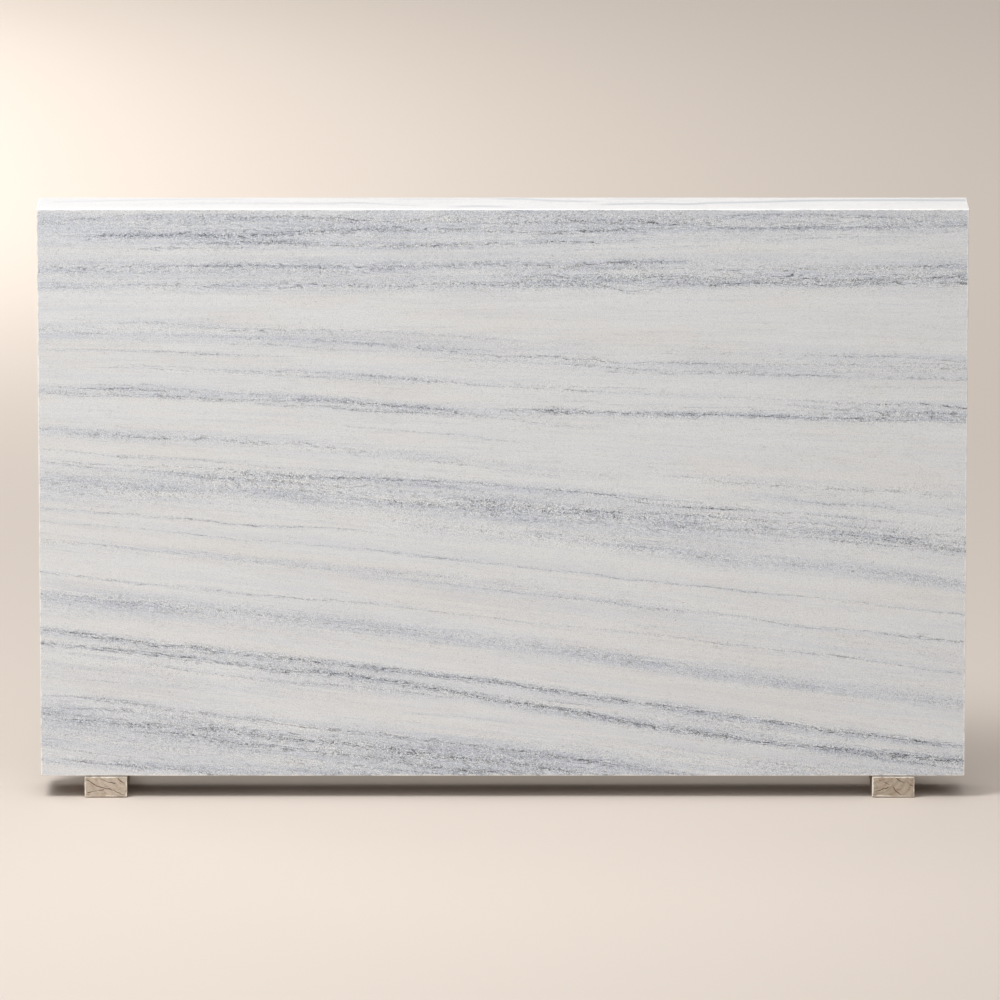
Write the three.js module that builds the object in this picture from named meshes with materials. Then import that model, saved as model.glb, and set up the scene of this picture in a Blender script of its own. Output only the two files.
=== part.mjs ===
// A thick marble slab stored on its long edge, standing on two short timber bearers.
//
// Millimetres, +Z up. The polished face looks along -Y and the slab's length runs along X.
// The origin is on the ground, under the middle of the slab and its bearers taken together.

import * as THREE from 'three';
import { RoundedBoxGeometry } from 'three/addons/geometries/RoundedBoxGeometry.js';

// The slab: one piece of sawn stone, with every arris rubbed down a little.
const SLAB_LENGTH = 3000;
const SLAB_HEIGHT = 1868;
const SLAB_THICKNESS = 220;
const SLAB_ARRIS = 3;

// The bearers: two offcuts of sawn timber. Their front ends stop just behind the slab's face,
// and they run on past its back.
const BEARER_WIDTH = 138;
const BEARER_HEIGHT = 73;
const BEARER_LENGTH = 320;
const BEARER_ARRIS = 3.5;
const BEARER_SETBACK = 2;
const LEFT_BEARER_INSET = 141;
const RIGHT_BEARER_INSET = 162;

// Stone and timber touch here, with this much air left between the two solids.
const CONTACT_GAP = 0.3;
// Steps in each rounded edge.
const ARRIS_STEPS = 3;

const TOTAL_DEPTH = BEARER_SETBACK + BEARER_LENGTH;
const SLAB_FRONT = -TOTAL_DEPTH / 2;
const SLAB_UNDERSIDE = BEARER_HEIGHT + CONTACT_GAP;
const SLAB_END = SLAB_LENGTH / 2;

const marble = new THREE.MeshStandardMaterial({
  color: new THREE.Color().setRGB(0.83, 0.82, 0.81, THREE.SRGBColorSpace),
  roughness: 0.3,
  metalness: 0,
});

const timber = new THREE.MeshStandardMaterial({
  color: new THREE.Color().setRGB(0.73, 0.66, 0.59, THREE.SRGBColorSpace),
  roughness: 0.85,
  metalness: 0,
});

/** A squared block with rounded edges, its front face at y = front and its underside at z = underside. */
function block({ name, material, length, depth, height, arris, middle, front, underside }) {
  const geometry = new RoundedBoxGeometry(length, depth, height, ARRIS_STEPS, arris);
  const mesh = new THREE.Mesh(geometry, material);
  mesh.name = name;
  mesh.position.set(middle, front + depth / 2, underside + height / 2);
  return mesh;
}

/** The stone itself. */
function marbleSlab() {
  return block({
    name: 'marble_slab',
    material: marble,
    length: SLAB_LENGTH,
    depth: SLAB_THICKNESS,
    height: SLAB_HEIGHT,
    arris: SLAB_ARRIS,
    middle: 0,
    front: SLAB_FRONT,
    underside: SLAB_UNDERSIDE,
  });
}

/** One bearer, lying across the slab's thickness with its end grain to the front. */
function bearer(name, middle) {
  return block({
    name,
    material: timber,
    length: BEARER_WIDTH,
    depth: BEARER_LENGTH,
    height: BEARER_HEIGHT,
    arris: BEARER_ARRIS,
    middle,
    front: SLAB_FRONT + BEARER_SETBACK,
    underside: 0,
  });
}

const slabOnBearers = new THREE.Group();
slabOnBearers.add(
  marbleSlab(),
  bearer('left_bearer', -SLAB_END + LEFT_BEARER_INSET + BEARER_WIDTH / 2),
  bearer('right_bearer', SLAB_END - RIGHT_BEARER_INSET - BEARER_WIDTH / 2),
);

export default slabOnBearers;
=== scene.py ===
import math

import bpy
import numpy as np
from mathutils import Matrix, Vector


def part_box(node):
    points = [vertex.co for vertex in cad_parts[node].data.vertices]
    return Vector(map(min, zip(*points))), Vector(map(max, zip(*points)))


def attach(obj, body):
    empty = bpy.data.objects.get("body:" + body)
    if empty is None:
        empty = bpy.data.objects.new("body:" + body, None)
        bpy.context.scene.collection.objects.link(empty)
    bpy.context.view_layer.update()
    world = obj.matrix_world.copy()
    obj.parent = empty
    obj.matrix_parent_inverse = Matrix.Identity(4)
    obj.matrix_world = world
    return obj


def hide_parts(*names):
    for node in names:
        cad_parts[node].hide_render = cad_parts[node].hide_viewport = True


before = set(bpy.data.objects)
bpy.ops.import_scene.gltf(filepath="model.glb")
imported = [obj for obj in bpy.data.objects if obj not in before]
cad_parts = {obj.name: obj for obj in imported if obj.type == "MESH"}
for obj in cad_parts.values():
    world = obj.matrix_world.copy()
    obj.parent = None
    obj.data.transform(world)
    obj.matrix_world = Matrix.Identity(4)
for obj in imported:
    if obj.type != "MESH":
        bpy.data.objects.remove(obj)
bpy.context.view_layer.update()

# A thick slab of banded marble standing on its long edge, on two sawn timber bearers.
# Metres, +Z up. The polished face looks along -Y.

CM = 0.01
MM = 0.001

SLAB_LOW, SLAB_HIGH = (np.array(corner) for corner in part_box("marble_slab"))
SLAB_LENGTH, SLAB_THICKNESS, _ = SLAB_HIGH - SLAB_LOW

# How far apart the slab's grid lines stand, along X, Y and Z.
SLAB_SPACING = (20 * MM, 12 * MM, 10 * MM)
# A wide spacing has extra lines this far inside each edge.
NEAR_EDGE = (1.5 * MM, 5 * MM)
# The slab's arris is rubbed by hand, to a radius between these.
SLAB_ARRIS = (2.2 * MM, 3.6 * MM)

# The beds are level at the top and fall to the right by this much per metre low down.
FAN_SLOPE = 0.125
FAN_STARTS, FAN_ENDS = 0.25, 1.25
# They lean up by this much per metre towards the back, and wander there by about this much.
BED_LEAN, SHEET_WANDER = 0.3, 14 * MM
# Finding the bed of a place takes this many rounds.
BED_ROUNDS = 14

# Veins are dealt out to this many families, so that those of one family never touch.
VEIN_FAMILIES = 8
STRAND_SPACING = 8.6 * MM
SLOW_SWAY, FINE_SWAY = (-4 * MM, 4 * MM), (-3 * MM, 3 * MM)
# A vein and a cloud fade out over these distances where they stop inside the stone.
VEIN_FADE, CLOUD_FADE = 8 * CM, 24 * CM

# Every vein: half width in mm, and its course on the polished face as
# (cm from the left end, cm below the top, percent of full darkness there).
VEINS = [
    (1.3, (0, 4.3, 30), (38, 2.2, 30), (60, 2.5, 20)),
    (4, (50, 2.6, 30), (80, 2.7, 50), (100, 3.3, 84), (118, 3.7, 42), (160, 4.4, 18), (172, 4, 50),
     (195, 4, 55), (206, 5, 70), (219, 4.8, 45)),
    (2, (218, 3.4, 30), (225, 2.2, 55), (250, 2, 45), (270, 2.6, 50), (282, 3.8, 45), (300, 4.3, 40)),
    (3.6, (5, 8.6, 18), (30, 8.7, 69), (38, 9, 64), (43, 8.5, 37), (56, 8.6, 78), (66, 8.9, 64),
     (72, 8.2, 50), (105, 6.5, 70), (115, 6, 50), (125, 6.9, 35), (140, 6.6, 45), (152, 7.2, 30),
     (162, 7.8, 60), (178, 7.2, 80), (200, 6.3, 30), (230, 6.3, 35), (252, 5.9, 80), (280, 5.8, 40),
     (300, 5.6, 40)),
    (1.6, (44, 9.3, 30), (52, 9.3, 40), (62, 8, 40), (74, 8.4, 50), (100, 7.6, 30)),
    (3.6, (42, 11.5, 30), (76, 10.8, 80), (96, 11.8, 50), (122, 11.9, 60), (156, 10.9, 45), (166, 10.6, 65),
     (178, 10.9, 60), (196, 10, 25)),
    (1.8, (230, 10.3, 40), (246, 9.5, 45), (280, 8.6, 15)),
    (1.2, (33, 12.9, 70), (39, 12.8, 100), (45, 12.7, 75), (90, 13, 15)),
    (1.6, (168, 13.6, 25), (198, 12.4, 30), (220, 11.8, 20)),
    (4.2, (0, 19.3, 35), (35, 18.9, 34), (60, 18.4, 58), (100, 19, 34), (112, 18.6, 55), (125, 18.8, 45),
     (140, 18.1, 50), (160, 18.6, 40), (188, 17.6, 85), (202, 17.4, 65), (212, 16.7, 30)),
    (3.4, (158, 19.2, 24), (170, 19.2, 44), (200, 19.4, 20), (230, 19.9, 36), (260, 19.5, 32),
     (288, 18.7, 64), (300, 18.5, 56)),
    (1.4, (0, 20.3, 35), (32, 20.5, 40), (70, 20.2, 20)),
    (4.4, (150, 21.8, 29), (175, 22.3, 64), (186, 22.2, 40), (204, 22, 64), (226, 22.5, 48), (236, 21.4, 48),
     (248, 22.7, 56), (300, 22, 48)),
    (2.6, (152, 23.4, 30), (176, 23.4, 50), (230, 23, 40), (262, 23.6, 40), (300, 23.2, 40)),
    (3.6, (0, 26, 30), (30, 24.8, 38), (42, 24.9, 34), (58, 25, 58), (68, 24.8, 38), (106, 25, 46),
     (116, 25, 68), (124, 24.5, 45), (162, 25, 49), (176, 24.8, 68), (184, 25.4, 60), (191, 26.8, 83),
     (196, 26.5, 45), (206, 24.8, 52), (219, 24.5, 83), (232, 24.1, 56), (262, 24.6, 83), (275, 24.4, 52),
     (300, 24.3, 60)),
    (2.2, (26, 37.2, 35), (36, 37.2, 50), (48, 37.9, 40), (69, 39.6, 60), (80, 39.6, 30), (100, 39.8, 40),
     (150, 42.5, 40), (160, 43.6, 30), (176, 44.2, 20)),
    (1.6, (0, 38.9, 40), (10, 40, 35), (24, 40.8, 20)),
    (1.8, (42, 41, 35), (118, 45, 50), (136, 47, 72), (152, 48.1, 45), (169, 48.6, 110), (177, 49.4, 100),
     (184, 50, 60), (204, 50.2, 50), (214, 50.3, 70), (222, 50.9, 45), (248, 50.6, 50), (267, 51.2, 65),
     (280, 51.5, 40), (300, 52, 40)),
    (1.6, (60, 44, 35), (80, 44.4, 40), (96, 46, 35), (110, 46.4, 25)),
    (1.4, (120, 44.8, 40), (130, 45.6, 55), (151, 46.7, 40)),
    (1.6, (0, 46, 25), (34, 46.4, 75), (44, 46.8, 50), (55, 47.3, 70), (84, 48.3, 25)),
    (1.6, (244, 47.6, 25), (256, 47.9, 30), (265, 48.1, 70), (280, 48.5, 35), (290, 49, 40), (297, 49.6, 70),
     (300, 49.7, 60)),
    (1.4, (272, 50.2, 30), (292, 50.6, 50), (300, 50.8, 40)),
    (1.4, (128, 49, 30), (160, 50.3, 30), (192, 52.2, 75), (200, 52.8, 60)),
    (2.6, (182, 53, 34), (204, 54, 42), (217, 53.4, 51), (234, 53.9, 51), (243, 54.1, 77), (252, 54.3, 59),
     (262, 54.8, 77), (272, 55.1, 51), (300, 55.8, 47)),
    (1.1, (22, 51.8, 35), (74, 54, 45), (112, 56.2, 20)),
    (1.5, (28, 51.2, 40), (37, 51.6, 50), (52, 52, 30), (73, 53.2, 64), (82, 52.9, 44), (99, 53.8, 40),
     (106, 54.4, 60), (116, 55, 52), (123, 55.8, 70), (132, 56.7, 50), (140, 57.4, 60), (152, 58, 35),
     (172, 59.2, 50), (216, 61.3, 25), (266, 63.6, 50), (273, 63.8, 90), (286, 63.9, 100), (300, 65, 100)),
    (1.1, (160, 57.8, 30), (187, 58.5, 50), (196, 58.8, 30)),
    (1.2, (262, 58, 30), (276, 58.2, 30), (300, 58.6, 20)),
    (1.5, (18, 57.4, 30), (30, 57.5, 40), (35, 57.4, 65), (42, 58.5, 50), (60, 59.7, 30), (98, 61.7, 35)),
    (2, (0, 58, 20), (10, 58.5, 35), (24, 58.9, 85), (31, 59, 80), (44, 59.8, 30)),
    (3.6, (0, 60.3, 50), (30, 61.3, 55), (37, 61.2, 80), (58, 62.3, 85), (72, 62.3, 64), (100, 63.1, 88),
     (127, 65.3, 72), (168, 70.6, 30), (184, 71.2, 15)),
    (3, (66, 62.9, 24), (78, 64.2, 56), (91, 64.7, 40), (97, 65.4, 72), (124, 66.7, 72), (134, 67, 56),
     (150, 68.6, 24)),
    (4.6, (148, 65.4, 36), (166, 66.2, 99), (184, 66.7, 64), (203, 67.2, 88), (222, 67.4, 72), (268, 69, 80),
     (300, 69.5, 80)),
    (2, (232, 68.6, 40), (262, 68, 60), (300, 68.4, 60)),
    (1.9, (242, 64.3, 40), (283, 66.8, 70), (290, 66.7, 50), (300, 67.2, 60)),
    (2, (0, 71.8, 45), (12, 72.2, 40), (36, 74.2, 30)),
    (2.2, (8, 73, 40), (18, 73.8, 50), (40, 75.1, 35), (60, 75.6, 50), (67, 76.5, 60), (76, 76.7, 35),
     (83, 76.3, 50), (92, 77.9, 50), (112, 79.7, 30)),
    (1.3, (98, 71, 20), (127, 73.4, 50), (158, 76.5, 20)),
    (1.4, (104, 80.6, 25), (129, 82.6, 50), (158, 86.5, 30), (170, 87.2, 20)),
    (1.6, (0, 78.5, 25), (18, 80.2, 50), (25, 81, 90), (48, 81.8, 40), (78, 84.8, 40), (104, 86.4, 25)),
    (1.8, (0, 82.4, 45), (10, 84.1, 80), (22, 85.1, 50), (42, 86.2, 50), (48, 87, 80), (68, 88.6, 77),
     (76, 89.2, 51), (100, 91.4, 26)),
    (1.4, (8, 82.8, 40), (17, 83.5, 60), (28, 84.2, 35), (52, 84.7, 60), (66, 86.2, 81), (74, 86.8, 51),
     (90, 87.9, 98), (106, 88.3, 85), (115, 88.7, 102), (132, 89.4, 40), (140, 89.6, 35), (146, 90.2, 65),
     (154, 91.1, 50), (185, 93.8, 85), (192, 94.5, 45), (220, 96.3, 25)),
    (1.3, (118, 90, 50), (136, 91.6, 45), (146, 92.8, 30)),
    (1.3, (182, 93.8, 40), (200, 96.8, 50), (218, 98.2, 110), (226, 98.6, 70), (236, 99.4, 50),
     (252, 100.3, 70), (276, 102.8, 30)),
    (2, (238, 102.2, 40), (274, 105.3, 80), (300, 107.8, 40)),
    (5.4, (98, 94, 35), (116, 96, 50), (144, 97.4, 42), (180, 100.2, 50), (200, 101.9, 34), (208, 103.4, 40),
     (241, 105.4, 40), (285, 109.8, 62), (300, 112.4, 40)),
    (3.6, (134, 95, 30), (144, 95.4, 45), (166, 98.2, 38), (196, 99.5, 45), (220, 101, 75), (238, 102.6, 45),
     (250, 104.6, 38), (280, 107.8, 60), (300, 109.6, 30)),
    (3.6, (196, 103.4, 38), (222, 105.2, 38), (276, 110.3, 44), (288, 111, 38), (300, 112.8, 44)),
    (1.4, (199, 86.6, 25), (208, 87.8, 50), (290, 93, 20)),
    (1.4, (242, 91, 25), (262, 92, 55), (272, 92.3, 45), (300, 95.4, 25)),
    (1.4, (230, 93.9, 35), (240, 94.6, 40), (252, 96.4, 40), (262, 96.7, 40), (300, 102, 25)),
    (1.2, (0, 98, 35), (45, 101.6, 70), (60, 103, 60), (67, 103.7, 95), (77, 104.4, 90), (85, 104.4, 60),
     (122, 107.4, 20)),
    (1, (0, 102.4, 30), (40, 105.7, 35), (51, 106.9, 60), (84, 109.8, 35), (110, 112.2, 50), (128, 114.4, 95),
     (146, 116.4, 50), (166, 118.6, 50), (171, 119.1, 70), (188, 121.2, 70), (196, 121.9, 50),
     (216, 124.1, 55), (225, 125.3, 75), (236, 126.3, 55), (246, 127.2, 65), (256, 128.2, 45),
     (276, 130.7, 60), (300, 133.5, 50)),
    (1.3, (0, 108.6, 40), (32, 111.6, 30), (43, 112.7, 50), (52, 113.6, 35), (88, 117.6, 30), (134, 121, 20)),
    (1.5, (100, 120.4, 25), (132, 123.4, 35), (170, 127.9, 50), (178, 128.7, 70), (212, 132.7, 40),
     (222, 133.5, 55), (254, 137.8, 50), (264, 138.3, 40), (274, 139.6, 80), (291, 141.5, 85),
     (300, 142.7, 60)),
    (1.5, (0, 119.2, 50), (24, 122, 70), (30, 122.8, 100), (37, 123.3, 60), (70, 126.6, 50), (90, 128.4, 80),
     (105, 129.6, 50), (154, 135.3, 35), (210, 141.5, 45), (222, 143.3, 75), (230, 144.1, 50),
     (268, 148.3, 80), (276, 149.6, 60), (300, 152.8, 50)),
    (4.6, (0, 137.9, 69), (13, 139.9, 115), (20, 140.9, 88), (30, 141.9, 113), (38, 143.5, 98),
     (47, 143.9, 98), (56, 145.2, 98), (63, 146.2, 63), (79, 147.9, 79), (112, 151.3, 62), (141, 155, 100),
     (158, 157.2, 75), (168, 158.7, 100), (194, 162.6, 70), (203, 163.6, 90), (219, 166.4, 85),
     (238, 168.9, 105), (247, 170.4, 85), (264, 173, 100), (272, 173.5, 75), (281, 174.7, 90),
     (300, 177.4, 70)),
    (1.8, (98, 149.6, 40), (108, 150.3, 55), (128, 152.4, 50)),
    (4, (0, 142.4, 45), (24, 145.1, 85), (69, 150.5, 80), (76, 151.5, 100), (101, 153.5, 90),
     (114, 155.5, 100), (145, 160.9, 85), (185, 167.5, 110), (200, 170.4, 80), (220, 173.5, 105),
     (229, 175.1, 90), (249, 177, 110), (271, 179.1, 80), (280, 180.3, 100), (300, 181.8, 90)),
    (1.8, (260, 178.9, 50), (267, 179.9, 90), (277, 181.8, 70), (285, 182.6, 80), (300, 184.3, 50)),
    (1.4, (160, 161.3, 40), (167, 162.1, 80), (186, 164.4, 30)),
    (1.6, (0, 144.4, 25), (88, 156.3, 55), (98, 156.8, 40), (136, 161.2, 25)),
    (1.2, (0, 154, 20), (24, 155.6, 20), (60, 158, 15)),
    (1.3, (118, 166, 25), (134, 167, 30), (158, 169.8, 20)),
    (1.4, (170, 173.2, 20), (206, 177.4, 20), (236, 182.5, 25), (258, 184.2, 20)),
    (4.2, (0, 160, 42), (17, 161.2, 68), (49, 165.6, 55), (74, 168.8, 81), (82, 169.9, 64), (112, 173.3, 72),
     (140, 176.7, 51), (161, 179.3, 68), (171, 180.9, 55), (181, 182.3, 72), (190, 184, 59), (200, 185.4, 77),
     (218, 187.6, 51)),
    (2, (0, 164.3, 40), (28, 165.2, 75), (38, 166.6, 40), (52, 168, 30)),
    (1.8, (0, 165.8, 50), (12, 166.9, 50), (30, 168, 35)),
    (4.8, (4, 168, 32), (22, 168.9, 68), (58, 171.6, 44), (90, 175.2, 88), (107, 177, 56), (114, 178.5, 76),
     (130, 180.3, 56), (160, 183.6, 56), (184, 187.2, 48)),
    (4.6, (28, 172, 38), (43, 172.8, 52), (57, 174.8, 68), (110, 181.2, 52), (127, 183.8, 86),
     (150, 185.7, 83), (162, 186.7, 60)),
    (1.6, (0, 176.5, 35), (20, 179.8, 35), (34, 180.6, 25), (66, 184, 25)),
    (2, (6, 181.2, 30), (28, 183.4, 80), (43, 184.2, 70), (50, 185.6, 70), (68, 187.5, 40)),
    (1.6, (96, 182.6, 40), (122, 185.6, 50), (136, 187, 40)),
]

# Broad clouded bands, set down in the same way but with their half height in cm.
CLOUDS = [
    (6.5, (0, 5, 52), (40, 6, 52), (80, 4.5, 52), (130, 4, 69), (220, 5, 36), (300, 5, 31)),
    (1.6, (0, 3.2, 15), (100, 3.2, 40), (180, 4, 27), (230, 3.2, 36), (300, 3.4, 41)),
    (1.4, (14, 8.6, 48), (60, 8.6, 60), (100, 7.2, 50), (150, 7.3, 35), (240, 5.9, 45), (300, 5.6, 32)),
    (1.2, (56, 11.2, 50), (80, 11, 60), (120, 11.7, 50), (176, 10.7, 41), (200, 10, 18)),
    (2.4, (0, 19.4, 26), (90, 19.1, 45), (190, 18.4, 41), (215, 18.6, 23), (250, 19.7, 31), (300, 18.7, 34)),
    (6, (0, 22, 26), (80, 21.5, 18), (150, 21.5, 30), (300, 21, 30)),
    (2, (0, 25.5, 30), (140, 24.8, 42), (215, 23.6, 51), (300, 23.2, 48)),
    (1.6, (150, 21.9, 39), (190, 22, 45), (300, 21.4, 45)),
    (3.2, (0, 40.2, 35), (30, 39.6, 40), (60, 40.5, 39), (180, 46.5, 11)),
    (2.2, (120, 47, 22), (150, 50, 26), (200, 52, 26), (300, 53.6, 29)),
    (2, (200, 46.5, 13), (250, 48, 20), (300, 48.8, 22)),
    (1.5, (56, 53, 20), (100, 54.6, 35), (180, 59, 17)),
    (1.6, (0, 59, 30), (80, 61.6, 42), (110, 64.4, 44), (160, 67.3, 30)),
    (1.4, (150, 66, 32), (200, 67.2, 48), (300, 67.3, 45)),
    (1.4, (236, 63.8, 17), (270, 64.8, 39), (300, 65.5, 43)),
    (1.7, (0, 72.8, 44), (90, 77.6, 44), (190, 88.5, 10)),
    (5.2, (0, 90.5, 45), (80, 93, 65), (110, 95, 60), (200, 104, 44), (240, 108, 26)),
    (1.8, (40, 86.8, 40), (115, 89, 60), (185, 94, 39), (220, 98, 34), (300, 105, 30)),
    (3.4, (120, 96.5, 36), (160, 98.4, 46), (200, 101.8, 42), (280, 109, 65), (300, 111.2, 50)),
    (2.4, (112, 103.2, 50), (180, 109.6, 60), (205, 112.8, 60), (270, 119.2, 50), (300, 123.6, 50)),
    (2.5, (222, 94, 13), (250, 96, 26), (300, 99, 21)),
    (2, (200, 87.4, 17), (240, 90.2, 26), (300, 93.5, 21)),
    (1.8, (0, 109.2, 20), (140, 122.6, 25), (220, 133, 20)),
    (2.5, (0, 127.2, 50), (25, 129, 70), (110, 137.6, 55), (170, 145.5, 60), (265, 158.8, 50),
     (300, 162.6, 50)),
    (1.6, (0, 138.2, 40), (150, 156.4, 55), (250, 171, 50), (300, 177.2, 45)),
    (1.9, (0, 142.6, 40), (100, 153.6, 50), (200, 170.4, 65), (250, 177.2, 70), (300, 182, 70)),
    (1.8, (20, 148, 20), (95, 156.5, 40), (130, 160.5, 30)),
    (6, (0, 166.5, 57), (40, 169.5, 62), (80, 174.4, 82), (150, 182, 82), (190, 186, 58)),
    (2.2, (0, 181.5, 45), (30, 183.5, 68), (180, 186.5, 45)),
    (4, (196, 178, 20), (230, 183, 30), (265, 186, 40), (300, 187, 45)),
    (3, (50, 177, 20), (80, 180, 40), (110, 184, 30)),
    (12, (120, 122, 5), (180, 134, 7), (300, 150, 10)),
    (3, (0, 175, 40), (40, 178, 35), (70, 181, 15)),
    (3.5, (185, 165, 10), (215, 169.5, 40), (270, 176, 15)),
    (4, (150, 178, 10), (180, 181.5, 40), (250, 187, 40)),
    (5, (0, 129, 15), (40, 132, 20), (140, 142, 8)),
    (4, (0, 150, 18), (75, 157, 16), (110, 161, 5)),
]

# Soft bands on the top: the same, but with cm behind the polished face for cm below the top.
TOP_BANDS = [
    (1.4, (5, 14, 30), (20, 15.5, 40), (38, 18, 30), (67, 19, 25)),
    (1.1, (46, 11.5, 30), (67, 11.5, 45), (92, 11, 60), (105, 12, 80), (113, 9, 45), (126, 6, 40)),
    (1, (115, 19, 40), (122, 19.5, 55), (134, 19, 40)),
    (1.4, (148, 19.5, 90), (157, 19, 80), (166, 16, 80), (181, 14.5, 50)),
    (1.4, (134, 5, 60), (142, 6, 80), (151, 4.5, 60)),
    (1.7, (182, 9, 90), (200, 10.5, 90), (210, 9.5, 100), (218, 12, 80), (229, 13, 90), (248, 16, 100),
     (300, 17, 100)),
    (1, (183, 19.5, 40), (193, 19, 60), (204, 19.5, 40)),
]

# Drying checks on the sawn ends of the bearers, each as percent (across from the left, down).
LEFT_CHECKS = [
    [(5, 16), (16, 30), (28, 46), (42, 56), (57, 62)],
    [(37, 10), (46, 20), (56, 29), (72, 35)],
    [(8, 80), (25, 74), (45, 65)],
    [(58, 60), (64, 66), (79, 80), (94, 93)],
    [(80, 10), (86, 26), (95, 36)],
]
RIGHT_CHECKS = [
    [(18, 18), (29, 31), (41, 40)],
    [(5, 76), (20, 66), (38, 55)],
    [(50, 53), (57, 72), (67, 91)],
    [(58, 10), (62, 20), (74, 30)],
    [(83, 28), (90, 40), (98, 50)],
]
CHECK_HALF_WIDTH, CHECK_DEPTH, CHECK_WAVER = 1.3 * MM, 2.5 * MM, 1.3 * MM
# A check keeps its depth as far in as the first distance and is gone at the second.
CHECK_REACH = (2 * MM, 22 * MM)

BEARER_SPACING = (1 * MM, 8 * MM, 1 * MM)
BEARER_ARRIS = (2.4 * MM, 4.2 * MM)
# A bearer's faces are worn into ridges this deep.
RIDGE_DEPTH = 0.5 * MM
# Its ends are this far clear of slab and ground, and it bears from this far behind them.
BEARER_RELIEF, RELIEF_REACH = 2.6 * MM, 16 * MM
RING_WIDTH = 11 * MM
# Each bearer: CAD piece, visual piece, checks, how much painted light makes it paler, and where the heart
# of its tree was, from the middle of its end (along, up).
BEARERS = [
    ("left_bearer", "left_timber", LEFT_CHECKS, 1, (105 * MM, 82 * MM)),
    ("right_bearer", "right_timber", RIGHT_CHECKS, 0, (-88 * MM, 96 * MM)),
]

# The saw's ripples: pitch, and depth on the stone and on the timber.
SAW_PITCH, STONE_SAW_DEPTH, TIMBER_SAW_DEPTH = 9 * MM, 0.4 * MM, 0.25 * MM
STONE_ROUGHNESS, FIBRE_HEIGHT, GROWTH_DEPTH = 0.12 * MM, 0.5 * MM, 0.25 * MM
# How far the paler wear and painted highlight reach from an edge.
STONE_WEAR_AND_HIGHLIGHT, TIMBER_WEAR_AND_HIGHLIGHT = 4.5 * MM, 5.5 * MM

FLOOR_HALF, FLOOR_LEVEL = 70.0, -0.5 * MM

# The camera looks down by the pitch, from this far in front of the polished face.
LENS_MM, SENSOR_MM, SIGHT_ENDS = 400, 36, 300
CAMERA_PITCH = math.radians(11.40)
CAMERA_ALONG, CAMERA_DISTANCE, CAMERA_HEIGHT = -0.009, 35.21, 8.087

# Room light from overhead, and from in front.
ROOM_OVERHEAD, ROOM_FRONT = 0.86, 2.2

# Square soft boxes: place, the point it looks at, side in metres, watts, colour.
LIGHTS = {
    "key": ((-3.6, -3, 8), (-0.4, 0, 0.9), 3, 470, (0.985, 0.99, 1)),
    "back key": ((-6.5, 4, 8), (0.2, -0.3, 0.5), 4, 100, (1, 0.965, 0.91)),
    "top light": ((1.4, 0.9, 4.2), (1.2, 0.05, 1.9), 1, 13, (1, 0.97, 0.92)),
    "far background": ((-6, 15, 2.5), (-1, 15, 0), 4, 280, (1, 0.98, 0.95)),
    "near background": ((-5, 10, 4), (-3, 12, 0), 4, 270, (1, 0.98, 0.95)),
}

# Strands in the stone: how many, how bent and how tightly curled.
DARK_STRANDS = {"Stripes per metre": 100, "Bend": 1.7, "Curl": 84}
PALE_STRANDS = {"Stripes per metre": 62, "Bend": 2, "Curl": 34}
STRIPE_SOFTNESS, CURL_SOFTNESS, CURL_REACH = 0.35, 0.22, 0.16
# What each thing adds to the dark mineral, to the soft shade and to the fine darkness. A pair is
# (more in the richest stone, everywhere).
RICH_CLOUD, RICH_HALO, RICH_CORE = 0.62, 0.32, 0.14
HAZE_SHADE, LAYER_SHADE, LEAST_SHADE = 0.31, 0.03, 0.01
STRAND_DARK, FLECK_DARK = (0.50, 0.09), (0.45, 0.12)
SHEET_DARK, GRAIN_DARK, HAIRLINE_DARK = 0.38, 0.45, 0.04

# Colours, as display values from 0 to 255.
STONE_TONES = [(0, (225, 227, 228)), (0.10, (212, 216, 222)), (0.22, (193, 199, 209)),
               (0.50, (155, 162, 173)), (1, (100, 107, 119))]
# The rubbed stone colour is partly wear and partly a painted highlight on the arris.
WARM_TINT, SAWN_STONE, RUBBED_STONE_AND_HIGHLIGHT = (251, 246, 240), (232, 231, 229), (252, 250, 246)
# The underside colour is painted shade for the gap beneath the slab.
TOP_DUST, TOP_BAND, UNDERSIDE_PAINTED_SHADE = (227, 222, 218), (184, 187, 191), (104, 86, 68)
TIMBER_TONES = [(0.35, (204, 189, 171)), (0.55, (182, 166, 148)), (0.80, (152, 136, 119))]
# The pale timber colour is painted light: it makes the more brightly lit left bearer paler.
PAINTED_LIGHT_TIMBER, REDDISH, GREENISH = (234, 222, 206), (188, 163, 146), (172, 166, 148)
# The worn timber colour is partly wear and partly a painted highlight on the eased edges.
HAIRLINE, CHECK, WORN_TIMBER_AND_HIGHLIGHT = (114, 96, 79), (94, 77, 62), (255, 248, 236)
FLOOR_COLOUR, WALL_COLOUR = (219, 207, 196), (166, 158, 150)


# ----- Surfaces as arrays


def smooth_noise(points, wavelength, seed, waves=9):
    """A smooth random field from -1 to 1 or so: sine waves of about one wavelength, each with its
    own direction and phase, added up and divided by the root of twice their number."""
    rng = np.random.default_rng(seed)
    directions = rng.normal(size=(waves, points.shape[1]))
    directions /= np.linalg.norm(directions, axis=1, keepdims=True)
    numbers = 2 * math.pi / (wavelength * rng.uniform(0.7, 1.5, waves))
    phases = rng.uniform(0, 2 * math.pi, waves)
    swings = np.sin(points @ (directions * numbers[:, None]).T + phases)
    return swings.sum(axis=1) / math.sqrt(2 * waves)


def smooth_step(low, high, value):
    """0 below low, 1 above high, and 3t^2 - 2t^3 in between."""
    t = np.clip((value - low) / (high - low), 0, 1)
    return t * t * (3 - 2 * t)


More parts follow.
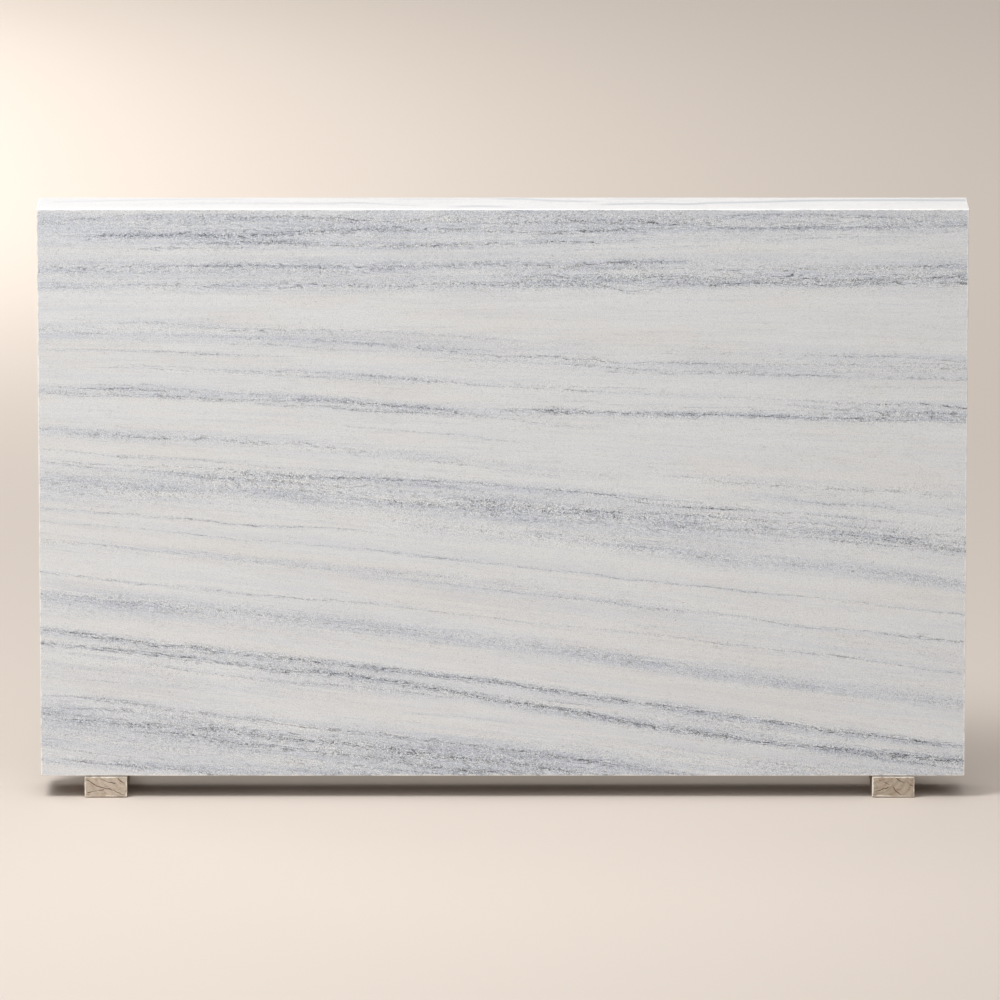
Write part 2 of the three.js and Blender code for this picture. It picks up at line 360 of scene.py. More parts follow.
def curve_through(knots, at):
    """A smooth curve through given points: between two of them, the cubic whose slope at each is
    the slope between its neighbours. Past the ends it runs on straight."""
    x, y = np.array(knots, float).T
    slope = np.gradient(y, x)
    i = np.clip(np.searchsorted(x, at) - 1, 0, len(x) - 2)
    span = x[i + 1] - x[i]
    t = np.clip((at - x[i]) / span, 0, 1)
    cubic = (1 - t) ** 2 * ((1 + 2 * t) * y[i] + t * span * slope[i])
    cubic += t * t * ((3 - 2 * t) * y[i + 1] - (1 - t) * span * slope[i + 1])
    before = np.minimum(at - x[0], 0) * slope[0]
    after = np.maximum(at - x[-1], 0) * slope[-1]
    return cubic + before + after


def grid_lines(low, high, radius, spacing, steps=3):
    """Places of the grid lines across a block: evenly spaced on the flat, with extra lines near a
    widely spaced edge, and at equal turns up to 45 degrees in the rounding."""
    turn = radius * np.tan(np.linspace(0, math.pi / 4, steps + 1))[1:]
    inner_low, inner_high = low + radius, high - radius
    near = np.array([near for near in NEAR_EDGE if near < spacing])
    count = max(2, round((inner_high - inner_low) / spacing))
    flat = np.linspace(inner_low, inner_high, count + 1)[1:-1]
    return np.concatenate([
        inner_low - turn[::-1], [inner_low], inner_low + near,
        flat, inner_high - near[::-1], [inner_high], inner_high + turn,
    ])


def block_surface(low, high, radius, spacing):
    """The six sides of a sharp block as grids, joined along their edges.
    Gives the points, and quads that look outwards."""
    lines = [grid_lines(low[k], high[k], radius, spacing[k]) for k in range(3)]
    points, quads, first = [], [], 0
    for axis in range(3):
        across, up = (axis + 1) % 3, (axis + 2) % 3
        for level, outward in ((low[axis], False), (high[axis], True)):
            a, b = np.meshgrid(lines[across], lines[up], indexing="ij")
            side = np.empty(a.shape + (3,))
            side[..., axis], side[..., across], side[..., up] = level, a, b
            index = np.arange(a.size).reshape(a.shape) + first
            corners = [index[:-1, :-1], index[1:, :-1], index[1:, 1:], index[:-1, 1:]]
            quad = np.stack(corners if outward else corners[::-1], axis=-1)
            points.append(side.reshape(-1, 3))
            quads.append(quad.reshape(-1, 4))
            first += a.size
    points, quads = np.concatenate(points), np.concatenate(quads)
    _, kept, where = np.unique(np.round(points, 7), axis=0, return_index=True, return_inverse=True)
    return points[kept], where.reshape(-1)[quads]


def round_edges(points, low, high, radius):
    """Each point p of a sharp block goes to c + r * unit(p - c), where c is p held inside the
    block shrunk by the radius r. Gives the new points and their outward normals."""
    radius = np.broadcast_to(radius, len(points))[:, None]
    held = np.clip(points, low + radius, high - radius)
    outward = points - held
    outward /= np.linalg.norm(outward, axis=1, keepdims=True)
    return held + radius * outward, outward


def edge_distance(points, low, high):
    """How far each point of a block's surface is from the nearest edge: the second smallest of
    its three distances to a side."""
    return np.sort(np.minimum(points - low, high - points), axis=1)[:, 1]


def new_piece(name, points, quads, normals=None):
    """A smooth shaded mesh object from arrays."""
    mesh = bpy.data.meshes.new(name)
    mesh.from_pydata(points.tolist(), [], quads.tolist())
    mesh.polygons.foreach_set("use_smooth", np.ones(len(quads), bool))
    if normals is not None:
        mesh.normals_split_custom_set_from_vertices(normals.tolist())
    piece = bpy.data.objects.new(name, mesh)
    bpy.context.scene.collection.objects.link(piece)
    return piece


def keep_values(piece, named):
    """Stores numbers or vectors, one per point, under names that materials can read."""
    for name, values in named.items():
        values = np.ascontiguousarray(values, np.float32)
        kind, field = ("FLOAT", "value") if values.ndim == 1 else ("FLOAT_VECTOR", "vector")
        piece.data.attributes.new(name, kind, "POINT").data.foreach_set(field, values.ravel())


# ----- The slab


def stone_places(points):
    """Each point as metres along from the left end, deep from the polished face, and down."""
    corner = (SLAB_LOW[0], SLAB_LOW[1], SLAB_HIGH[2])
    return ((points - corner) * (1, 1, -1)).T


def unbent_depth(points):
    """How far down each point would be if its bed had neither lean nor wander: down + lean * deep
    + wander, a smooth noise that grows with the depth behind the polished face."""
    along, deep, down = stone_places(points)
    plan = np.stack([along, 3 * deep, 0.6 * down], axis=1)
    wander = SHEET_WANDER * smooth_step(0, SLAB_THICKNESS, deep) * smooth_noise(plan, 0.7, seed=11)
    return down + BED_LEAN * deep + wander


def bed_level(along, depth):
    """Which bed a place is in, named by that bed's depth b at the left end. It runs at depth
    b + s(b) * along, where the slope s grows smoothly from 0 to FAN_SLOPE with b, and that is
    solved for b by putting each answer back in."""
    level = depth.copy()
    for _ in range(BED_ROUNDS):
        slope = FAN_SLOPE * smooth_step(FAN_STARTS, FAN_ENDS, level)
        level = depth - slope * along
    return level


def run_course(course, along, fade):
    """How far below the top a course runs, as a smooth curve through its points, and its strength,
    which goes straight from point to point and falls to 0 over the fade at either end, unless
    that is an end of the slab."""
    x, y, strength = np.array(course, float).T
    start, stop = x[0] * CM, x[-1] * CM
    opening = 1 if start <= 0 else smooth_step(start - fade / 2, start + fade / 2, along)
    closing = 1 if stop >= SLAB_LENGTH else 1 - smooth_step(stop - fade / 2, stop + fade / 2, along)
    depth = curve_through(np.stack([x, y], axis=1) * CM, along)
    return depth, np.interp(along, x * CM, strength / 100) * opening * closing


def vein_families(along, depth):
    """For each family, at every point: the depth below its nearest vein, that vein's half width
    and its darkness, which is 0 out of the vein's reach."""
    middles = np.array([course[len(course) // 2][:2] for _, *course in VEINS]) * CM
    order = np.argsort(bed_level(middles[:, 0], middles[:, 1]))
    families = []
    for family in range(VEIN_FAMILIES):
        sheets = []
        for number in order[family::VEIN_FAMILIES]:
            half_width, *course = VEINS[number]
            level, darkness = run_course(course, along, VEIN_FADE)
            width = half_width * MM * (0.6 + 0.6 * darkness)
            below = depth - level
            in_reach = np.abs(below) < 5 * width + 10 * MM
            sheets.append(np.stack([below, width, darkness * in_reach], axis=1))
        sheets = np.stack(sheets)
        nearest = np.abs(sheets[:, :, 0]).argmin(axis=0)
        families.append(sheets[nearest, np.arange(len(along))])
    return families


def clouding(along, depth, bands, fade):
    """How clouded each place is: 1 less the product, over the bands, of 1 - strength *
    exp(-(distance from the course / half height)^2)."""
    clear = np.ones(len(along))
    for half_height, *course in bands:
        level, strength = run_course(course, along, fade)
        clear *= 1 - strength * np.exp(-(((depth - level) / (half_height * CM)) ** 2))
    return 1 - clear


def make_slab():
    """The slab: a block with a hand-rubbed arris. Its points carry the bed, the clouding, how much
    they look up, down or away from the polished side, and the nearest veins."""
    sharp, quads = block_surface(SLAB_LOW, SLAB_HIGH, SLAB_ARRIS[1], SLAB_SPACING)
    rubbed = np.interp(smooth_noise(sharp, 0.25, seed=5), [-1, 1], SLAB_ARRIS)
    points, normals = round_edges(sharp, SLAB_LOW, SLAB_HIGH, rubbed)
    slab = new_piece("veined_marble", points, quads, normals)

    along, deep, _ = stone_places(points)
    depth = unbent_depth(points)
    top, under = (np.clip(way * normals[:, 2], 0, 1) ** 4 for way in (1, -1))
    keep_values(slab, {
        "bed": bed_level(along, depth),
        "cloud": clouding(along, depth, CLOUDS, CLOUD_FADE),
        "top": top,
        "top_band": top * clouding(along, deep, TOP_BANDS, VEIN_FADE),
        "edge": edge_distance(points, SLAB_LOW, SLAB_HIGH),
        "sawn": 1 - np.clip(-normals[:, 1], 0, 1),
        "under": under,
    })
    keep_values(slab, {f"veins_{i}": family for i, family in enumerate(vein_families(along, depth))})
    return slab


# ----- The bearers


def line_distance(places, line):
    """Distance in a plane from each place to a bent line: for each straight part a-b, the nearest
    point is a + t (b - a), with t = (p - a) . (b - a) / |b - a|^2 held between 0 and 1."""
    nearest = np.full(len(places), np.inf)
    for a, b in zip(line[:-1], line[1:]):
        t = np.clip((places - a) @ (b - a) / ((b - a) @ (b - a)), 0, 1)
        nearest = np.minimum(nearest, np.linalg.norm(places - a - t[:, None] * (b - a), axis=1))
    return nearest


def check_strength(points, low, high, checks, inside):
    """It fades out with the distance inside that end."""
    size = (high - low)[[0, 2]]
    corner = np.array([low[0], high[2]])
    flat = points * (1, 0, 1)
    waver = np.stack([smooth_noise(flat, 18 * MM, seed) for seed in (41, 42)], axis=1)
    places = points[:, [0, 2]] + CHECK_WAVER * waver
    strength = np.zeros(len(points))
    for check in checks:
        line = corner + np.array(check) / 100 * size * (1, -1)
        strength = np.maximum(strength, np.exp(-(line_distance(places, line) / CHECK_HALF_WIDTH) ** 2))
    uneven = np.interp(smooth_noise(flat, 35 * MM, seed=43), [-0.8, 0.8], [0.35, 1])
    return strength * uneven * (1 - smooth_step(*CHECK_REACH, inside))


def make_bearer(node, name, checks, painted_light, heart):
    """A bearer: a sawn block with eased edges, ends split by drying checks, and faces worn into
    ridges along the grain, ridge depth * (1 - noise) / 2 deep. Towards its ends it draws in by
    z' = middle + (z - middle) (1 - relief / half height), so that it bears only behind them."""
    low, high = (np.array(corner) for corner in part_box(node))
    sharp, quads = block_surface(low, high, BEARER_ARRIS[1], BEARER_SPACING)
    eased = np.interp(smooth_noise(sharp, 60 * MM, seed=21), [-1, 1], BEARER_ARRIS)
    points, normals = round_edges(sharp, low, high, eased)
    middle = (low + high) / 2
    inside = np.minimum(points[:, 1] - low[1], high[1] - points[:, 1])
    split = check_strength(points, low, high, checks, inside)
    ridges = smooth_noise(points * (1, 0.08, 1), 14 * MM, seed=31, waves=24)
    worn_in = CHECK_DEPTH * split + RIDGE_DEPTH * (1 - np.clip(ridges, -1, 1)) / 2
    drawn_in = (1 - smooth_step(0, RELIEF_REACH, inside)) * BEARER_RELIEF / (high[2] - middle[2])
    shaped = points - normals * worn_in[:, None]
    shaped[:, 2] = middle[2] + (shaped[:, 2] - middle[2]) * (1 - drawn_in)
    bearer = new_piece(name, shaped, quads)
    keep_values(bearer, {
        "edge": edge_distance(points, low, high),
        "split": split,
        "painted_light": np.full(len(points), painted_light),
        "ring": np.hypot(*(points - middle)[:, [0, 2]].T - np.array(heart)[:, None]),
    })
    return bearer


# ----- Shader building blocks


class Graph:
    """Places nodes in a tree. Any input takes a socket, a number, a colour or a vector."""

    def __init__(self, tree):
        self.tree = tree

    def node(self, kind, inputs=None, **settings):
        made = self.tree.nodes.new("ShaderNode" + kind)
        for key, value in settings.items():
            setattr(made, key, value)
        return self.feed_all(made, inputs or {})

    def feed(self, socket, value):
        if isinstance(value, bpy.types.NodeSocket):
            self.tree.links.new(value, socket)
        else:
            socket.default_value = value

    def feed_all(self, made, inputs):
        for key, value in inputs.items():
            self.feed(made.inputs[key], value)
        return made

    def math(self, operation, a, b=0, c=0):
        return self.node("Math", {0: a, 1: b, 2: c}, operation=operation).outputs[0]

    def add(self, a, b):
        return self.math("ADD", a, b)

    def times(self, a, b):
        return self.math("MULTIPLY", a, b)

    def times_add(self, a, b, c):
        """a * b + c."""
        return self.math("MULTIPLY_ADD", a, b, c)

    def off_middle(self, noise):
        """|noise - 0.5|: how far a noise is from its middle value."""
        return self.math("ABSOLUTE", self.math("SUBTRACT", noise, 0.5))

    def off_stripe(self, phase):
        """|2 part(phase) - 1|, where part is the fraction left over: 0 in the middle of a stripe."""
        return self.math("ABSOLUTE", self.times_add(self.math("FRACT", phase), 2, -1))

    def clamped(self, a):
        return self.node("Clamp", {"Value": a}).outputs[0]

    def spread(self, value, low, high, to_low, to_high, kind="LINEAR"):
        """value from low..high to to_low..to_high, held at the ends."""
        inputs = {0: value, 1: low, 2: high, 3: to_low, 4: to_high}
        return self.node("MapRange", inputs, interpolation_type=kind).outputs[0]

    def stretch(self, value, low, high, to_low=0, to_high=1):
        """The same, with soft ends."""
        return self.spread(value, low, high, to_low, to_high, "SMOOTHSTEP")

    def parts(self, vector):
        return self.node("SeparateXYZ", {0: vector}).outputs

    def joined(self, x, y, z):
        return self.node("CombineXYZ", {0: x, 1: y, 2: z}).outputs[0]

    def scaled(self, vector, scale):
        """A vector times a vector, part by part."""
        return self.node("VectorMath", {0: vector, 1: scale}, operation="MULTIPLY").outputs[0]

    def noise(self, vector, per_metre, detail=2, roughness=0.5, distortion=0):
        """Noise with so many lumps per metre along each axis."""
        inputs = {"Vector": self.scaled(vector, per_metre), "Scale": 1, "Detail": detail,
                  "Roughness": roughness, "Distortion": distortion}
        return self.node("TexNoise", inputs).outputs["Fac"]

    def value(self, name, kind="Fac"):
        """What the mesh stores at its points under this name."""
        return self.node("Attribute", attribute_name=name).outputs[kind]

    def mix(self, factor, colour, over, blend="MIX"):
        """A named colour laid over another, as strongly as the factor says."""
        inputs = {0: factor, 6: colour, 7: srgb(*over)}
        return self.node("Mix", inputs, data_type="RGBA", blend_type=blend).outputs[2]

    def ramp(self, value, tones):
        """The colour at this value, straight from tone to tone."""
        made = self.node("ValToRGB", {0: value})
        elements = made.color_ramp.elements
        while len(elements) < len(tones):
            elements.new(1)
        for element, (place, colour) in zip(elements, tones):
            element.position = place
            element.color = srgb(*colour)
        return made.outputs[0]

    def placed(self, group, inputs):
        return self.node("Group", inputs, node_tree=bpy.data.node_groups[group]).outputs


def srgb(red, green, blue):
    """A colour from its 0 to 255 display values, as linear light."""
    shown = np.array([red, green, blue]) / 255
    linear = np.where(shown <= 0.04045, shown / 12.92, ((shown + 0.055) / 1.055) ** 2.4)
    return (*linear.tolist(), 1)


def new_group(name, inputs, outputs):
    """An empty node group, from its inputs' first values, with None for a vector, and its outputs'
    names. Gives its graph, the sockets to take from and the sockets to feed."""
    group = bpy.data.node_groups.new(name, "ShaderNodeTree")
    for socket, number in inputs.items():
        kind = "NodeSocketVector" if number is None else "NodeSocketFloat"
        made = group.interface.new_socket(socket, in_out="INPUT", socket_type=kind)
        if number is not None:
            made.default_value = number
    for socket in outputs:
        group.interface.new_socket(socket, in_out="OUTPUT", socket_type="NodeSocketFloat")
    given = group.nodes.new("NodeGroupInput").outputs
    return Graph(group), given, group.nodes.new("NodeGroupOutput").inputs


def speckle_group():
    """Grain is fine noise, from -1 to 1. Flecks are the cores of a few scattered cells."""
    g, given, result = new_group("Speckle", {"Vector": None}, ["Grain", "Flecks"])
    place = given["Vector"]
    fine = g.noise(place, (330, 330, 330), detail=1, roughness=0.8)
    g.feed(result["Grain"], g.spread(fine, 0.3, 0.7, -1, 1))
    cells = g.node("TexVoronoi", {"Vector": g.scaled(place, (75, 75, 105)), "Scale": 1})
    core = g.stretch(cells.outputs["Distance"], 0.05, 0.28, 1, 0)
    chosen = g.stretch(g.node("SeparateColor", {0: cells.outputs["Color"]}).outputs[0], 0.8, 0.84)
    g.feed(result["Flecks"], g.times(core, chosen))


def strand_group():
    """Thin dark strands of two kinds, with an amount that widens them. Drawn is even stripes along
    the beds, bent by noise: (amount - |2 part(phase) - 1|) / softness, where part is the fraction
    left over. Curled is where a noise crosses its middle: (amount - |noise - 0.5| / reach) / softness."""
    g, given, result = new_group(
        "Strand", {"Vector": None, "Stripes per metre": 100, "Bend": 1.5, "Curl": 60, "Amount": 0.4},
        ["Drawn", "Curled"])
    place, amount, curl = given["Vector"], given["Amount"], given["Curl"]
    bend = g.times(g.noise(place, (8, 10, 32)), g.times(given["Bend"], 4))
    away = g.off_stripe(g.times_add(g.parts(place)[2], given["Stripes per metre"], bend))
    g.feed(result["Drawn"], g.clamped(g.times(g.math("SUBTRACT", amount, away), 1 / STRIPE_SOFTNESS)))
    field = g.noise(place, g.joined(curl, curl, g.times(curl, 1.5)), detail=1, distortion=1.3)
    off = g.times_add(g.off_middle(field), -1 / CURL_REACH, amount)
    g.feed(result["Curled"], g.clamped(g.times(off, 1 / CURL_SOFTNESS)))


def vein_group():
    """One family of veins. The sheet is (depth below the vein, half width, darkness); the sway
    shifts the line and the swell widens it. The core is a flat bell as wide as the vein, and the
    halo a wider bell. Strand is stripes beside the vein, fading out as a bell:
    (0.52 - |2 part(distance / spacing + wander) - 1|) / softness."""
    g, given, result = new_group(
        "Vein", {"Sheet": None, "Sway": 0, "Swell": 1, "Wander": 0, "Spacing": STRAND_SPACING},
        ["Core", "Halo", "Strand"])
    sheet = g.parts(given["Sheet"])
    away = g.add(sheet[0], given["Sway"])
    width = g.times(sheet[1], given["Swell"])

    def bell(reach, flat):
        """darkness * exp(-(distance / reach)^2), or with the 4th power if it is flat."""
        ratio = g.math("DIVIDE", away, reach)
        power = g.times(ratio, ratio)
        if flat:
            power = g.times(power, power)
        return g.times(g.math("EXPONENT", g.times(power, -1)), sheet[2])

    g.feed(result["Core"], bell(width, True))
    g.feed(result["Halo"], bell(g.times_add(width, 1.5, 4 * MM), False))
    phase = g.add(g.math("DIVIDE", away, given["Spacing"]), g.add(given["Wander"], 0.5))
    stripe = g.math("SUBTRACT", 0.52, g.off_stripe(phase))
    stripe = g.clamped(g.times(stripe, 1 / STRIPE_SOFTNESS))
    g.feed(result["Strand"], g.times(stripe, bell(g.times_add(width, 1.2, 1.5 * MM), False)))


def edge_wear_and_highlight_group():
    """1 on a worn edge, which also carries a painted highlight, and 0 away from it, beyond an uneven border.
    """
    g, given, result = new_group(
        "Edge wear and highlight", {"Vector": None, "Distance": 0, "Width": STONE_WEAR_AND_HIGHLIGHT}, ["Worn"])
    uneven = g.stretch(g.noise(given["Vector"], (40, 40, 40), detail=3), 0.3, 0.7, 0.4, 1.6)
    reach = g.times(given["Width"], uneven)
    g.feed(result["Worn"], g.stretch(g.math("DIVIDE", given["Distance"], reach), 0.3, 1, 1, 0))


def saw_mark_group():
    """Height, in metres, of a saw's ripples: depth * noise * sin(2 pi (x / pitch + 2 noise)),
    where the vector's x runs along the feed."""
    g, given, result = new_group(
        "Saw marks", {"Vector": None, "Pitch": SAW_PITCH, "Depth": STONE_SAW_DEPTH}, ["Height"])
    feed = g.parts(given["Vector"])[0]
    drift = g.noise(given["Vector"], (3, 3, 3), detail=1)
    turns = g.times_add(drift, 2, g.math("DIVIDE", feed, given["Pitch"]))
    ripple = g.math("SINE", g.times(turns, 2 * math.pi))
    uneven = g.noise(given["Vector"], (14, 2, 2), detail=3)
    g.feed(result["Height"], g.times(g.times(ripple, uneven), given["Depth"]))


# ----- Materials


def new_material(name):
    """An empty material. Gives the material, its graph and its surface node."""
    material = bpy.data.materials.new(name)
    material.use_nodes = True
    return material, Graph(material.node_tree), material.node_tree.nodes["Principled BSDF"]


def marble():
    """Banded marble: soft haze in the clouds and round the veins, and dark strands, dashes, grain
    and flecks in it."""
    material, g, surface = new_material("banded marble")
    position = g.node("TexCoord").outputs["Object"]
    xyz = g.parts(position)
    # Noise is read at (along, through, bed), so that every pattern follows the beds.
    lie = g.joined(xyz[0], xyz[1], g.value("bed"))

    speckle = g.placed("Speckle", {"Vector": lie})
    grain, flecks = speckle["Grain"], speckle["Flecks"]

    # How the veins sway off their courses, swell and break up.
    slow = g.noise(lie, (2.4, 3, 14), detail=3, roughness=0.55)
    sway_slow = g.spread(g.noise(lie, (7, 9, 20)), 0.2, 0.8, *SLOW_SWAY)
    sway_fine = g.spread(g.noise(lie, (26, 32, 60), roughness=0.7), 0.2, 0.8, *FINE_SWAY)
    sway = g.add(sway_slow, sway_fine)
    swell = g.spread(g.noise(lie, (9, 11, 26), detail=3), 0.3, 0.7, 0.5, 1.6)
    breaks = g.stretch(g.noise(lie, (24, 30, 80), roughness=0.7), 0.34, 0.62, 0.5, 1.2)
    dashes = g.stretch(g.noise(lie, (100, 120, 280), detail=1, roughness=0.6), 0.36, 0.62, 0.35, 1.5)
    breaks = g.times(breaks, dashes)
    wander = g.spread(g.noise(lie, (9, 11, 30)), 0.3, 0.7, -0.7, 0.7)
    core, halo, sheets = 0, 0, 0
    for number in range(VEIN_FAMILIES):
        sheet = g.value(f"veins_{number}", "Vector")
        vein = g.placed("Vein", {"Sheet": sheet, "Sway": sway, "Swell": swell, "Wander": wander})
        core = g.math("MAXIMUM", core, vein["Core"])
        halo = g.math("MAXIMUM", halo, vein["Halo"])
        sheets = g.math("MAXIMUM", sheets, vein["Strand"])

    # Thin and broad layers along the beds, from -1 to 1.
    streaks = g.spread(g.noise(lie, (4, 8, 125), detail=3, roughness=0.62), 0.3, 0.7, -1, 1)
    broad_field = g.noise(lie, (1.1, 3, 36), detail=3, roughness=0.55)
    broad = g.spread(broad_field, 0.3, 0.7, -1, 1)
    layers = g.add(streaks, broad)
    hairlines = g.stretch(g.off_middle(broad_field), 0, 0.02, 1, 0)

    # How rich in dark mineral each place is.
    cloud = g.times(g.value("cloud"), g.spread(slow, 0.3, 0.7, 0.6, 1.3))
    veined = g.times_add(halo, RICH_HALO, g.times(core, RICH_CORE))
    rich = g.clamped(g.times_add(cloud, RICH_CLOUD, veined))
    # It lies in strands, drawn out in one place and curled up in another, with pale ones between.
    amount = g.times_add(rich, 0.42, 0.24)
    strands = g.placed("Strand", {"Vector": lie, "Amount": amount, **DARK_STRANDS})
    turned = g.scaled(lie, (1, 1, -1))
    pale = g.placed("Strand", {"Vector": turned, "Amount": amount, **PALE_STRANDS})["Curled"]
    curled = g.stretch(g.noise(lie, (5, 6, 22)), 0.36, 0.54)
    lines = g.node("Mix", {0: curled, 2: strands["Drawn"], 3: strands["Curled"]}).outputs[0]

    # The soft shade picks the stone's tone.
    soft = g.times_add(halo, -0.1, rich)
    haze = g.times(soft, g.times_add(pale, -0.6, 1))
    layered = g.times(haze, g.times_add(layers, 0.3, 1))
    shade = g.times_add(layers, LAYER_SHADE, g.times(layered, HAZE_SHADE))
    shade = g.clamped(g.add(shade, LEAST_SHADE))
    # Everything dark and fine takes light away: what is left is (1 - 0.55 dark)^2.2.
    dark = g.times(g.times(lines, breaks), g.times_add(rich, *STRAND_DARK))
    dark = g.times_add(g.times(sheets, g.times_add(breaks, 0.8, 0.1)), SHEET_DARK, dark)
    dark = g.times_add(g.times(g.add(rich, 0.2), grain), GRAIN_DARK, dark)
    dark = g.times_add(g.times(hairlines, breaks), HAIRLINE_DARK, dark)
    dark = g.times_add(flecks, g.times_add(rich, *FLECK_DARK), dark)
    left = g.math("POWER", g.times_add(dark, -0.55, 1), 2.2)
    stone = g.ramp(shade, STONE_TONES)
    stone = g.node("VectorMath", {0: stone, "Scale": left}, operation="SCALE").outputs[0]
    warmth = g.times(g.stretch(slow, 0.4, 0.7), g.math("SUBTRACT", 1, g.clamped(g.times(rich, 2))))
    colour = g.mix(g.times(warmth, 0.4), stone, WARM_TINT, blend="MULTIPLY")
    # Sawn faces scatter more light, so they are paler and their figure fainter.
    sawn = g.value("sawn")
    colour = g.mix(g.times(sawn, 0.55), colour, SAWN_STONE)
    # Dust on the top hides its grain but not its broad bands.
    colour = g.mix(g.times(g.value("top"), 0.5), colour, TOP_DUST)
    on_top = g.times(g.value("top_band"), g.spread(slow, 0.3, 0.7, 0.8, 1))
    colour = g.mix(on_top, colour, TOP_BAND)
    # Painted shade: the underside is painted dark brown, to darken the gap beneath the slab.
    painted_shade_under = g.times(g.value("under"), g.spread(slow, 0.3, 0.6, 0.7, 0.95))
    colour = g.mix(painted_shade_under, colour, UNDERSIDE_PAINTED_SHADE)
    # The arris is painted paler: partly wear, partly a painted highlight where the edges catch the light.
    worn = g.placed("Edge wear and highlight", {"Vector": position, "Distance": g.value("edge"), "Width": STONE_WEAR_AND_HIGHLIGHT})
    colour = g.mix(g.times(worn["Worn"], 0.85), colour, RUBBED_STONE_AND_HIGHLIGHT)

    slanted = g.times_add(xyz[1], 0.7, g.times_add(xyz[2], 0.35, xyz[0]))
    fed = g.joined(slanted, xyz[1], xyz[2])
    saw = g.placed("Saw marks", {"Vector": fed, "Depth": STONE_SAW_DEPTH})
    height = g.times(g.times_add(grain, STONE_ROUGHNESS, saw["Height"]), sawn)
    bump = g.node("Bump", {"Height": height, "Distance": 1, "Strength": 0.8})
    polish = g.spread(grain, -1, 1, 0.32, 0.42)
    g.feed_all(surface, {"Base Color": colour, "Roughness": g.times_add(sawn, 0.3, polish),
                         "Normal": bump.outputs[0], "Specular IOR Level": 0.35})
    return material


def timber():
    """Dry sawn timber: growth rings round the heart, long fibres, dark drying checks, paler edges that are
    partly worn and partly a painted highlight.
    """
    material, g, surface = new_material("weathered timber")
    position = g.node("TexCoord").outputs["Object"]
    fibres = g.noise(position, (380, 9, 380), detail=3, roughness=0.65)
    patches = g.noise(position, (26, 8, 26), detail=3)
    rings_at = g.times_add(patches, 2.6, g.math("DIVIDE", g.value("ring"), RING_WIDTH))
    late_wood = g.math("POWER", g.math("PINGPONG", rings_at, 1), 2)
    tone = g.times_add(late_wood, 0.22, g.times_add(fibres, 0.45, g.times(patches, 0.5)))
    colour = g.ramp(tone, TIMBER_TONES)
    # Painted light: the left bearer, lit more strongly from the left, is painted paler.
    colour = g.mix(g.times(g.value("painted_light"), 0.3), colour, PAINTED_LIGHT_TIMBER)
    hue = g.noise(position, (55, 14, 70))
    colour = g.mix(g.stretch(hue, 0.45, 0.7, 0, 0.5), colour, REDDISH)
    colour = g.mix(g.stretch(hue, 0.55, 0.3, 0, 0.45), colour, GREENISH)
    # Hairline cracks where a noise crosses its middle, here and there.
    cracks_at = g.noise(position, (42, 7, 62), detail=3, roughness=0.6, distortion=1.2)
    crazed = g.stretch(g.off_middle(cracks_at), 0, 0.018, 1, 0)
    crazed = g.times(crazed, g.stretch(hue, 0.42, 0.56))
    colour = g.mix(g.times(crazed, 0.7), colour, HAIRLINE)
    colour = g.mix(g.stretch(g.value("split"), 0.08, 0.6, 0, 0.95), colour, CHECK)
    # The eased edges are painted cream: partly wear, partly a painted highlight where they catch the light.
    worn = g.placed("Edge wear and highlight", {"Vector": position, "Distance": g.value("edge"), "Width": TIMBER_WEAR_AND_HIGHLIGHT})
    colour = g.mix(worn["Worn"], colour, WORN_TIMBER_AND_HIGHLIGHT)

    xyz = g.parts(position)
    fed = g.joined(xyz[1], xyz[0], xyz[2])
    saw = g.placed("Saw marks", {"Vector": fed, "Depth": TIMBER_SAW_DEPTH})
    sunk = g.times(g.add(late_wood, crazed), -GROWTH_DEPTH)
    height = g.add(saw["Height"], g.times_add(fibres, FIBRE_HEIGHT, sunk))
    bump = g.node("Bump", {"Height": height, "Distance": 1, "Strength": 0.7})
    g.feed_all(surface, {"Base Color": colour, "Roughness": g.spread(fibres, 0.3, 0.7, 0.78, 0.92),
                         "Normal": bump.outputs[0], "Specular IOR Level": 0.3})
    return material


# ----- Studio


def make_floor():
    """A flat square floor of one dull pale colour, just under the bearers."""
    corners = np.array([(x, y, FLOOR_LEVEL) for x, y in ((-1, -1), (1, -1), (1, 1), (-1, 1))])
    corners[:, :2] *= FLOOR_HALF
    floor = new_piece("studio_floor", corners, np.array([[0, 1, 2, 3]]))
    material, g, surface = new_material("pale floor")
    g.feed_all(surface, {"Base Color": srgb(*FLOOR_COLOUR), "Roughness": 0.9, "Specular IOR Level": 0.2})
    floor.data.materials.append(material)


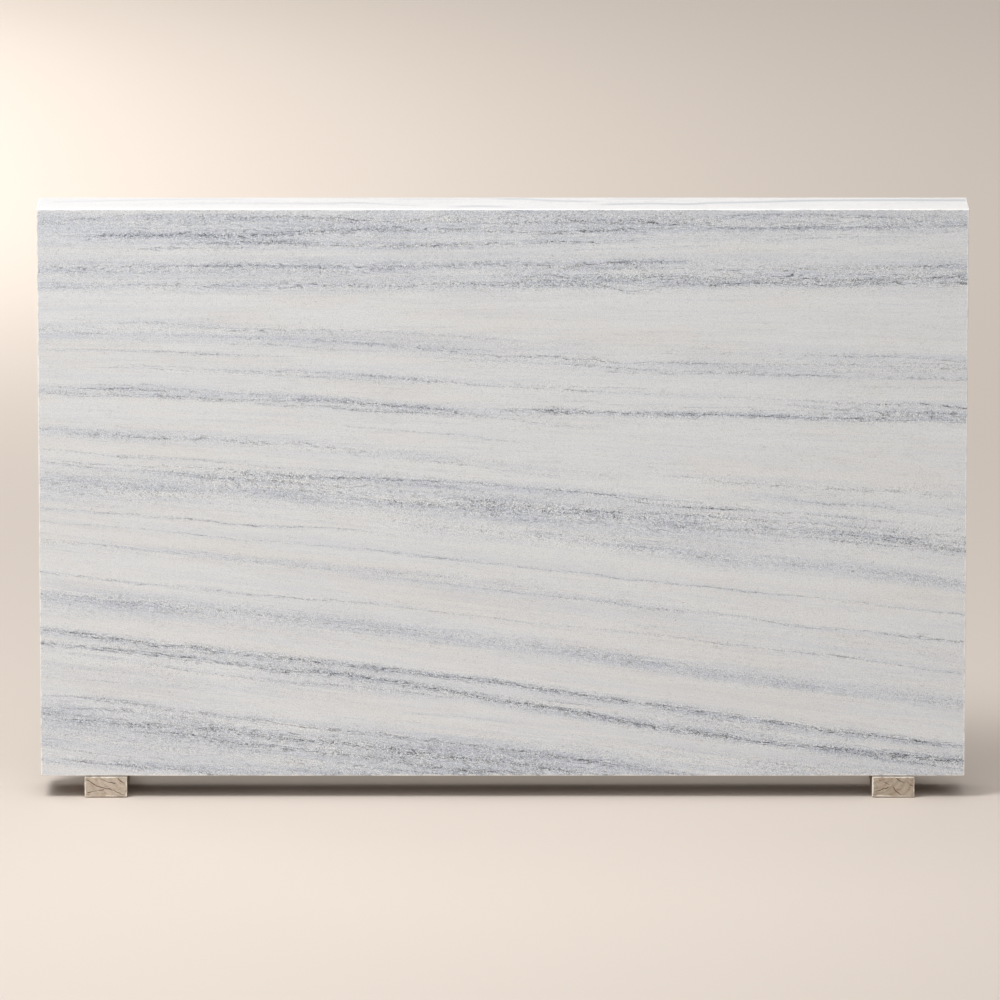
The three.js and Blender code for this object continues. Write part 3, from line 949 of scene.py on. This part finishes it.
def make_world():
    """Soft room light. With z upwards and y away from the camera, neither part below 0, its
    strength is overhead * z^4 + front * -y * z. The camera sees a wall colour in its place."""
    world = bpy.data.worlds.new("soft room light")
    world.use_nodes = True
    g = Graph(world.node_tree)
    direction = g.parts(g.node("TexCoord").outputs["Generated"])
    rise = g.math("MAXIMUM", direction[2], 0)
    front = g.math("MAXIMUM", g.times(direction[1], -1), 0)
    overhead = g.times(ROOM_OVERHEAD, g.math("POWER", rise, 4))
    strength = g.times_add(ROOM_FRONT, g.times(front, rise), overhead)
    room = g.node("Background", {"Color": (0.975, 0.985, 1, 1), "Strength": strength})
    wall = g.node("Background", {"Color": srgb(*WALL_COLOUR)})
    seen = g.node("LightPath").outputs["Is Camera Ray"]
    choice = g.node("MixShader", {0: seen, 1: room.outputs[0], 2: wall.outputs[0]})
    g.feed(world.node_tree.nodes["World Output"].inputs["Surface"], choice.outputs[0])
    bpy.context.scene.world = world


def make_lights():
    """The soft boxes of the table above, each turned to the point it looks at."""
    for name, (place, aim, size, power, colour) in LIGHTS.items():
        lamp = bpy.data.lights.new(name, "AREA")
        lamp.shape = "SQUARE"
        lamp.size, lamp.energy, lamp.color = size, power, colour
        light = bpy.data.objects.new(name, lamp)
        light.visible_camera = False
        light.location = place
        light.rotation_euler = (Vector(aim) - Vector(place)).to_track_quat("-Z", "Y").to_euler()
        bpy.context.scene.collection.objects.link(light)


def make_camera():
    """A long lens, high above the slab and looking down on it."""
    camera = bpy.data.cameras.new("camera")
    camera.sensor_width = SENSOR_MM
    camera.lens = LENS_MM
    camera.clip_end = SIGHT_ENDS
    camera.dof.use_dof = False
    place = bpy.data.objects.new("camera", camera)
    place.location = (CAMERA_ALONG, SLAB_LOW[1] - CAMERA_DISTANCE, CAMERA_HEIGHT)
    place.rotation_mode = "XYZ"
    place.rotation_euler = (math.pi / 2 - CAMERA_PITCH, 0, 0)
    bpy.context.scene.collection.objects.link(place)
    bpy.context.scene.camera = place


def main():
    """The whole scene: camera, lights and floor, then the slab, then its two bearers."""
    bpy.context.scene.view_settings.view_transform = "Standard"
    make_camera()
    make_world()
    make_lights()
    make_floor()
    for make_group in (speckle_group, strand_group, vein_group, edge_wear_and_highlight_group, saw_mark_group):
        make_group()

    slab = make_slab()
    slab.data.materials.append(marble())
    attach(slab, "root")
    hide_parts("marble_slab")

    wood = timber()
    for node, name, *looks in BEARERS:
        bearer = make_bearer(node, name, *looks)
        bearer.data.materials.append(wood)
        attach(bearer, "root")
        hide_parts(node)


main()
